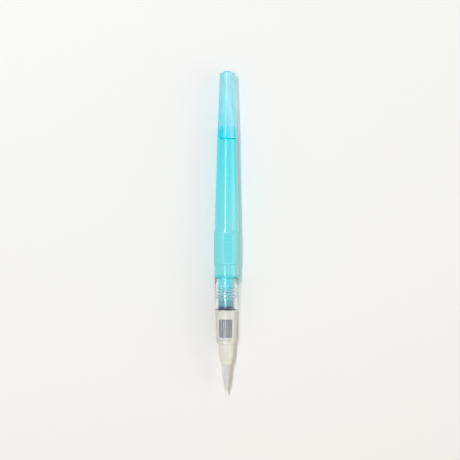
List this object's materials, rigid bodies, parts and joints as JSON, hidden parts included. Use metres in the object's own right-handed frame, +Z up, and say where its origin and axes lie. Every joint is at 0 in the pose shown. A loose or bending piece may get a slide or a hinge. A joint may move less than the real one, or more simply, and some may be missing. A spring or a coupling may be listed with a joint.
{
  "type": "brush pen",
  "caption": "Refillable water brush pen with a squeezable tank, a screw-on clear front section, a pointed filament brush and a pull-off cap parked on the tail.",
  "frame": {"origin": "on the resting surface, below the middle of the pen's length with the cap parked on the tail", "axes": "+Y along the pen from the brush point to the cap, +Z up on the press panel's side, +X to the right"},
  "size_m": [0.0142, 0.1808, 0.0136],
  "materials": {
    "cap_plastic": "clear pale aqua moulded plastic",
    "tank_plastic": "translucent aqua polyethylene, satin on the grip band",
    "clear_plastic": "clear polished plastic",
    "ivory_plastic": "smooth ivory",
    "feed_plastic": "finned grey",
    "tube_plastic": "translucent white",
    "slate_plastic": "smooth slate blue",
    "slate_rubber": "satin dark slate",
    "nose_plastic": "smooth ivory",
    "melted_nylon": "melted filament",
    "nylon_filament": "fine white nylon filaments"
  },
  "bodies": {
    "tank_body": {"tank": "tank_plastic"},
    "stopper_body": {"stopper": "slate_plastic", "o_ring": "slate_rubber", "gasket": "slate_rubber"},
    "section_body": {"section_shell": "clear_plastic", "nib_holder": "ivory_plastic", "feed": "feed_plastic", "feed_tube": "tube_plastic", "brush_ferrule": "nose_plastic", "tuft_disc": "melted_nylon", "bristle_root": "nylon_filament"},
    "tuft_body": {"bristles": "nylon_filament"},
    "cap_body": {"cap": "cap_plastic"}
  },
  "joints": [
    {"name": "cap_pull", "type": "slide", "parent": "tank_body", "child": "cap_body", "axis": [0, 1, 0], "range_m": [0, 0.02]},
    {"name": "section_travel", "type": "slide", "parent": "tank_body", "child": "stopper_body", "axis": [0, -1, 0], "range_m": [0, 0.016]},
    {"name": "section_screw", "type": "hinge", "parent": "stopper_body", "child": "section_body", "pos_m": [0, -0.04085, 0.0068], "axis": [0, -1, 0], "range_deg": [0, 2880]},
    {"name": "tuft_bend", "type": "hinge", "parent": "section_body", "child": "tuft_body", "pos_m": [0, -0.07455, 0.0068], "axis": [0, 0, 1], "range_deg": [-30, 30], "stiffness_Nm_per_rad": 0.001}
  ],
  "couplings": [
    {"joint": "section_screw", "follows": "section_travel", "rad_per_m": 3141.6}
  ]
}
